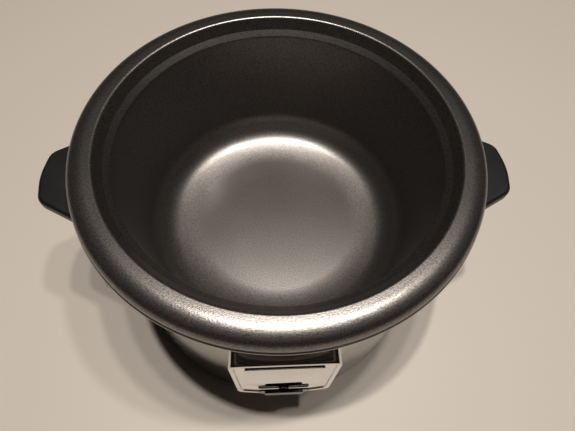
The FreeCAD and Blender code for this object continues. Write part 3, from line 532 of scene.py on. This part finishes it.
@dataclass
class Pot:
    """The lift-out pot: dished floor, drafted wall, sloped lid ledge, domed rim and bare bead."""

    wall: float = 0.0015
    floor_wall: float = 0.0018
    ledge_radius: float = 0.125
    ledge_width: float = 0.0044
    ledge_drop: float = 0.0044
    ledge_foot_round: float = 0.0026
    ledge_top_round: float = 0.0013
    dome_width: float = 0.009
    dome_fall: float = 0.0045
    dome_round: float = 0.02
    rim_round: float = 0.0085
    draft: float = 0.01
    dish_inset: float = 0.0301
    dish_round: float = 0.09
    dish_rise: float = 0.00805
    floor_round: float = 0.0277
    lip_width: float = 0.0045
    lip_round: float = 0.0024
    rim_rise: float = 0.0089
    skirt_drop: float = 0.0046
    bead_radius: float = 0.0013
    bead_inset: float = 0.0004
    segments: int = 288

    def build(self) -> None:
        """Build the pot and its bare edge."""
        low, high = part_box("cooking_pot")
        rim_top = high.z
        ledge = rim_top - self.rim_rise
        floor = low.z + self.floor_wall
        rim = high.x - self.bead_radius + self.bead_inset
        inner = self.ledge_radius - self.ledge_width
        skirt = ledge - self.skirt_drop
        foot = inner - self.draft
        path = rounded([
            (0.0, floor),
            (foot - self.dish_inset, floor, self.dish_round),
            (foot, floor + self.dish_rise, self.floor_round),
            (inner, ledge - self.ledge_drop, self.ledge_foot_round),
            (self.ledge_radius, ledge, self.ledge_top_round),
            (self.ledge_radius + self.lip_width, rim_top, self.lip_round),
            (rim - self.dome_width, rim_top, self.dome_round),
            (rim, rim_top - self.dome_fall, self.rim_round),
            (rim, skirt),
        ], closed=False, arc_steps=16)
        shell = Form("pot_shell")
        shell.spin(sheet_loop(self.subdivided(path), self.wall), self.segments)
        shell.finished(Coat.NONSTICK, "pot", ["cooking_pot"])
        bead = Form("pot_bare_edge")
        bead.spin(circle_loop((rim - self.bead_inset, skirt), self.bead_radius), self.segments)
        bead.finished(Coat.BARE_EDGE, "pot")

    @staticmethod
    def subdivided(path: Sequence[Spot], longest: float = 0.012) -> list[Spot]:
        """Split a path's long spans so that no face is drawn out."""
        points = [path[0]]
        for first, second in zip(path, path[1:]):
            spans = max(1, math.ceil(math.dist(first, second) / longest))
            points.extend((first[0] + (second[0] - first[0]) * step / spans,
                           first[1] + (second[1] - first[1]) * step / spans)
                          for step in range(1, spans + 1))
        return points


@dataclass
class Housing:
    """The flared casing, its collar and the liner that the pot drops into."""

    wall: float = 0.0008
    flare: float = 0.013
    bend: float = 0.0012
    hem: float = 0.008
    flange: float = 0.0026
    segments: int = 288
    fit: float = 0.0001
    collar_wall: float = 0.0026
    collar_shoulder: float = 0.003
    collar_shoulder_rise: float = 0.001
    collar_overlap: float = 0.0178
    collar_top_width: float = 0.003
    liner_wall: float = 0.001
    liner_foot: float = 0.1136
    liner_foot_round: float = 0.026
    liner_mouth: float = 0.1236

    def __post_init__(self) -> None:
        """Read the casing's place."""
        low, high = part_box("outer_casing")
        self.foot = low.z
        self.top = high.z
        self.foot_radius = high.x
        self.top_radius = high.x - self.flare

    def radius(self, height: float) -> float:
        """Return the casing's outside radius at a height."""
        return self.foot_radius - self.flare * (height - self.foot) / (self.top - self.foot)

    def build(self) -> None:
        """Build the casing, the collar and the liner."""
        path = rounded([
            (self.top_radius - self.flange, self.top),
            (self.top_radius, self.top, self.bend),
            (self.foot_radius, self.foot, self.bend),
            (self.foot_radius - self.hem, self.foot),
        ], closed=False, arc_steps=6)
        shell = Form("casing_shell")
        shell.spin(sheet_loop(Pot.subdivided(path, 0.02), self.wall), self.segments)
        shell.finished(Coat.CASING, "base", ["outer_casing"])
        self.build_collar()
        self.build_liner()

    def build_collar(self) -> None:
        """Build the heat-proof collar that the pot's rim rests on."""
        low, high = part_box("casing_collar")
        foot_radius = self.radius(low.z) + self.fit
        inner_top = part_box("cooking_pot")[1].x - self.collar_overlap
        path = rounded([
            (foot_radius, low.z),
            (foot_radius + self.collar_wall, low.z, 0.0006),
            (foot_radius + self.collar_shoulder, self.top + self.collar_shoulder_rise, 0.0012),
            (inner_top + self.collar_top_width, high.z, 0.0005),
            (inner_top, high.z, 0.0004),
            (self.top_radius - self.wall, self.top),
            (self.top_radius + self.fit, self.top),
        ], closed=True, arc_steps=4)
        collar = Form("collar_ring")
        collar.spin(path, 224)
        collar.finished(Coat.COLLAR, "base", ["casing_collar"])

    def build_liner(self) -> None:
        """Build the liner with its rolled floor edge."""
        low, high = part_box("heating_well")
        floor = low.z + self.liner_wall
        path = rounded([
            (0.0, floor),
            (self.liner_foot, floor, self.liner_foot_round),
            (self.liner_mouth, high.z, self.bend),
            (high.x, high.z),
        ], closed=False, arc_steps=14)
        liner = Form("liner_shell")
        liner.spin(sheet_loop(Pot.subdivided(path), self.liner_wall), 256)
        liner.finished(Coat.LINER, "base", ["heating_well"])


@dataclass
class ControlPanel:
    """The chrome bezel, its mirror panel and the rotary selector on the casing's front."""

    housing: Housing
    below: float = 0.021
    above: float = 0.0725
    top_half: float = 0.04
    foot_half: float = 0.0375
    corner_rise: float = 0.018
    corner_round: float = 0.008
    smile_round: float = 0.066
    depth: float = 0.0129
    border: float = 0.004
    recess: float = 0.0012
    edge_round: float = 0.0014
    inner_round: float = 0.0009
    panel_half: float = 0.029
    panel_top: float = 0.0615
    panel_foot: float = 0.0056
    panel_corner_rise: float = 0.013
    panel_corner_round: float = 0.003
    panel_smile_round: float = 0.05
    panel_thickness: float = 0.0011
    skirt_sink: float = 0.0009
    skirt_bore: float = 0.003
    skirt_radius: float = 0.0044
    skirt_edge: float = 0.0002
    skirt_thickness: float = 0.0012
    grip_base: tuple[float, float, float] = (0.0205, 0.0048, 0.0013)
    grip_bar: tuple[float, float, float] = (0.0155, 0.0042, 0.0017)
    grip_round: float = 0.0028

    def __post_init__(self) -> None:
        """Read the selector's axis, which the bezel is square to."""
        joint = next(joint for joint in frame["joints"] if joint["name"] == "knob_turn")
        outwards = Vector(joint["axis"]).normalized()
        across = Vector((1.0, 0.0, 0.0))
        upwards = outwards.cross(across)
        turn = Matrix((across, upwards, outwards)).transposed().to_4x4()
        self.place = Matrix.Translation(Vector(joint["pos_m"])) @ turn

    def outline(self, inset: float) -> list[Spot]:
        """Return the bezel's outline drawn in by an inset."""
        corner = self.corner_rise - self.below + inset
        rounding = max(self.corner_round - inset, 0.0006)
        return rounded([
            (-(self.top_half - inset), self.above - inset, rounding),
            (-(self.foot_half - inset), corner, rounding),
            (0.0, inset * 1.15 - self.below, self.smile_round - inset),
            (self.foot_half - inset, corner, rounding),
            (self.top_half - inset, self.above - inset, rounding),
        ], closed=True, arc_steps=10, side_steps=14)

    def seated(self, x: float, y: float) -> float:
        """Return how far out of the selector's origin the casing's surface is at a spot."""
        out = 0.0
        for _ in range(6):
            spot = self.place @ Vector((x, y, out))
            out += self.housing.radius(spot.z) - math.hypot(spot.x, spot.y)
        return out

    def build(self) -> None:
        """Build every piece of the front."""
        self.build_bezel()
        self.build_panel()
        self.build_selector()

    def build_bezel(self) -> None:
        """Build the bezel from rings that run out of the casing and over its rounded border."""
        form = Form("bezel_frame", self.place)
        outer = self.outline(0.0)
        rings = [form.ring([(x, y, self.seated(x, y) - 0.0006) for x, y in outer])]
        face = self.depth
        floor = face - self.recess
        steps: list[Spot] = [(0.0, face - self.edge_round * 2.2)]
        steps += self.quarter(self.edge_round, (self.edge_round, face - self.edge_round), 180.0, 90.0)
        inner = self.inner_round
        steps += self.quarter(inner, (self.border - inner, face - inner), 90.0, 0.0)
        small = 0.0003
        steps += self.quarter(small, (self.border + small, floor + small), 180.0, 270.0)
        for inset, out in steps:
            rings.append(form.ring([(x, y, out) for x, y in self.outline(inset)]))
        form.stack(rings)
        form.cover(rings[-1])
        form.cover(rings[0])
        form.finished(Coat.CHROME, "base", ["control_bezel"])

    @staticmethod
    def quarter(radius: float, centre: Spot, start: float, end: float, steps: int = 6) -> list[Spot]:
        """Return (inset, out) points on an arc from one angle to another in degrees."""
        points = []
        for step in range(steps + 1):
            angle = math.radians(start + (end - start) * step / steps)
            points.append((centre[0] + radius * math.cos(angle), centre[1] + radius * math.sin(angle)))
        return points

    def build_panel(self) -> None:
        """Build the mirror panel with its softened edge."""
        form = Form("mirror_panel", self.place)
        base = self.depth - self.recess
        face = base + self.panel_thickness
        edge = 0.0004
        steps: list[Spot] = [(0.0, base - 0.0001)]
        steps += self.quarter(edge, (edge, face - edge), 180.0, 90.0)
        rings = [form.ring([(x, y, out) for x, y in self.panel_outline(inset)])
                 for inset, out in steps]
        form.stack(rings)
        form.cover(rings[-1])
        form.cover(rings[0])
        form.finished(Coat.CHROME, "base", ["bezel_panel"])

    def panel_outline(self, inset: float) -> list[Spot]:
        """Return the panel's outline drawn in by an inset."""
        corner = self.panel_foot + self.panel_corner_rise + inset
        rounding = self.panel_corner_round - inset
        foot_half = self.panel_half - 0.0012 - inset
        return rounded([
            (-(self.panel_half - inset), self.panel_top - inset, rounding),
            (-foot_half, corner, rounding),
            (0.0, self.panel_foot + inset * 1.15, self.panel_smile_round - inset),
            (foot_half, corner, rounding),
            (self.panel_half - inset, self.panel_top - inset, rounding),
        ], closed=True, arc_steps=8, side_steps=6)

    def build_selector(self) -> None:
        """Build the chrome skirt and the stepped black grip."""
        back = self.depth - self.skirt_sink
        foot = back + self.skirt_thickness
        skirt = Form("selector_skirt", self.place)
        skirt.spin([(self.skirt_bore, back), (self.skirt_radius - self.skirt_edge, back),
                    (self.skirt_radius, back + self.skirt_edge), (self.skirt_radius, foot),
                    (self.skirt_bore, foot)], 96)
        skirt.finished(Coat.CHROME, "knob", ["knob_skirt"])
        base_half_x, base_half_y, base_thickness = self.grip_base
        bar_half_x, bar_half_y, bar_thickness = self.grip_bar
        middle = foot + base_thickness
        top = middle + bar_thickness
        form = Form("selector_grip", self.place)
        rings = []
        for half_x, half_y, levels in (
                (base_half_x, base_half_y, ((0.0, foot), (0.0, middle - 0.0003),
                                            (0.0001, middle - 0.0001), (0.0003, middle))),
                (bar_half_x, bar_half_y, ((0.0, middle), (0.0, top - 0.0005),
                                          (0.00015, top - 0.00015), (0.0005, top)))):
            for inset, out in levels:
                rounding = self.grip_round - inset
                points = rounded([
                    (half_x - inset, half_y - inset, rounding),
                    (inset - half_x, half_y - inset, rounding),
                    (inset - half_x, inset - half_y, rounding),
                    (half_x - inset, inset - half_y, rounding),
                ], closed=True, arc_steps=8, side_steps=4)
                rings.append(form.ring([(x, y, out) for x, y in points]))
        form.stack(rings)
        form.cover(rings[0])
        form.cover(rings[-1])
        form.finished(Coat.GRIP, "knob", ["knob_grip"])


class CarriedNodes:
    """The CAD nodes whose shape is right as it is, each with its own finish."""

    def build(self) -> None:
        """Dress every node that is still shown."""
        slots = {
            "black_plastic": Coat.HANDLE, "foot_rubber": Coat.FOOT, "plated_steel": Coat.PLATED,
            "liner_steel": Coat.LINER, "heater_mica": Coat.MICA, "glass_felt": Coat.FELT,
            "brass_fitting": Coat.BRASS, "switch_plastic": Coat.CERAMIC,
            "wire_brown": Coat.BROWN_WIRE, "wire_blue": Coat.BLUE_WIRE,
            "wire_green": Coat.EARTH_WIRE,
        }
        named = {"base_tray": Coat.TRAY}
        for part in frame["record"]["subparts"]:
            node = frame["nodes"][part["node"]]
            if node.hide_render:
                continue
            coat = named.get(part["node"]) or slots[part["material_slot"]]
            for place in node.material_slots:
                place.material = coat.material()
            log.info("%s: CAD node, dressed as %s", node.name, coat.name.lower())


@dataclass(frozen=True)
class Lamp:
    """A round soft lamp that faces the object."""

    name: str
    place: tuple[float, float, float]
    size: float
    power: float


@dataclass
class Studio:
    """The plain floor, the soft lights and the camera."""

    lamps: tuple[Lamp, ...] = (
        Lamp("key_lamp", (-0.16, 0.02, 2.4), 0.08, 22.0),
        Lamp("second_lamp", (0.06, 0.07, 2.4), 0.09, 9.0),
        Lamp("third_lamp", (0.34, 0.1, 2.4), 0.1, 12.0),
        Lamp("side_lamp", (0.7, 0.05, 2.3), 0.12, 11.0),
    )
    lamp_colour: tuple[float, float, float] = (1.0, 0.93, 0.86)
    aim: tuple[float, float, float] = (0.0, 0.0, 0.1)
    room_colour: tuple[float, float, float] = (1.0, 0.93, 0.86)
    room_strength: float = 0.008
    floor_colour: tuple[float, float, float] = (0.63, 0.575, 0.51)
    floor_half: float = 2.5
    camera_place: tuple[float, float, float] = (-0.0100, -0.2039, 0.4507)
    camera_yaw: float = 5.27
    camera_pitch: float = 60.19
    camera_roll: float = -0.0570
    camera_lens: float = 27.55

    def build(self) -> None:
        """Set up the floor, the lights and the camera."""
        self.build_floor()
        for lamp in self.lamps:
            self.hang(lamp)
        world = bpy.data.worlds.new("room")
        bpy.context.scene.world = world
        world.use_nodes = True
        background = world.node_tree.nodes["Background"]
        background.inputs["Color"].default_value = (*self.room_colour, 1.0)
        background.inputs["Strength"].default_value = self.room_strength
        bpy.context.scene.view_settings.view_transform = "Standard"
        self.build_camera()

    def build_floor(self) -> None:
        """Lay the plain pale floor."""
        mesh = bmesh.new()
        bmesh.ops.create_grid(mesh, x_segments=1, y_segments=1, size=self.floor_half)
        data = bpy.data.meshes.new("studio_floor")
        mesh.to_mesh(data)
        mesh.free()
        graph = Graph("pale_floor")
        data.materials.append(graph.surface(Base_Color=(*self.floor_colour, 1.0), Roughness=0.55))
        floor = bpy.data.objects.new("studio_floor", data)
        bpy.context.scene.collection.objects.link(floor)

    def hang(self, lamp: Lamp) -> None:
        """Hang a lamp and turn it to the object."""
        light = bpy.data.lights.new(lamp.name, "AREA")
        light.shape = "DISK"
        light.size = lamp.size
        light.energy = lamp.power
        light.color = self.lamp_colour
        holder = bpy.data.objects.new(lamp.name, light)
        holder.location = lamp.place
        way = Vector(self.aim) - Vector(lamp.place)
        holder.rotation_mode = "QUATERNION"
        holder.rotation_quaternion = way.to_track_quat("-Z", "Y")
        bpy.context.scene.collection.objects.link(holder)

    def build_camera(self) -> None:
        """Set the camera."""
        yaw, pitch = math.radians(self.camera_yaw), math.radians(self.camera_pitch)
        forward = Vector((math.sin(yaw) * math.cos(pitch), math.cos(yaw) * math.cos(pitch),
                          -math.sin(pitch)))
        right = Vector((math.cos(yaw), -math.sin(yaw), 0.0))
        down = forward.cross(right)
        turned = right * math.cos(self.camera_roll) + down * math.sin(self.camera_roll)
        sunk = down * math.cos(self.camera_roll) - right * math.sin(self.camera_roll)
        lens = bpy.data.cameras.new("camera")
        lens.lens = self.camera_lens
        lens.sensor_width = 36.0
        camera = bpy.data.objects.new("camera", lens)
        basis = Matrix((turned, -sunk, -forward)).transposed().to_4x4()
        camera.matrix_world = Matrix.Translation(Vector(self.camera_place)) @ basis
        bpy.context.scene.collection.objects.link(camera)
        bpy.context.scene.camera = camera


def main() -> None:
    """Build the cooker's looks around the CAD frame."""
    logging.basicConfig(level=logging.INFO, format="%(message)s")
    housing = Housing()
    for builder in (Studio(), Pot(), housing, ControlPanel(housing), CarriedNodes()):
        builder.build()
        log.info("%s built", type(builder).__name__)


if __name__ == "__main__":
    main()
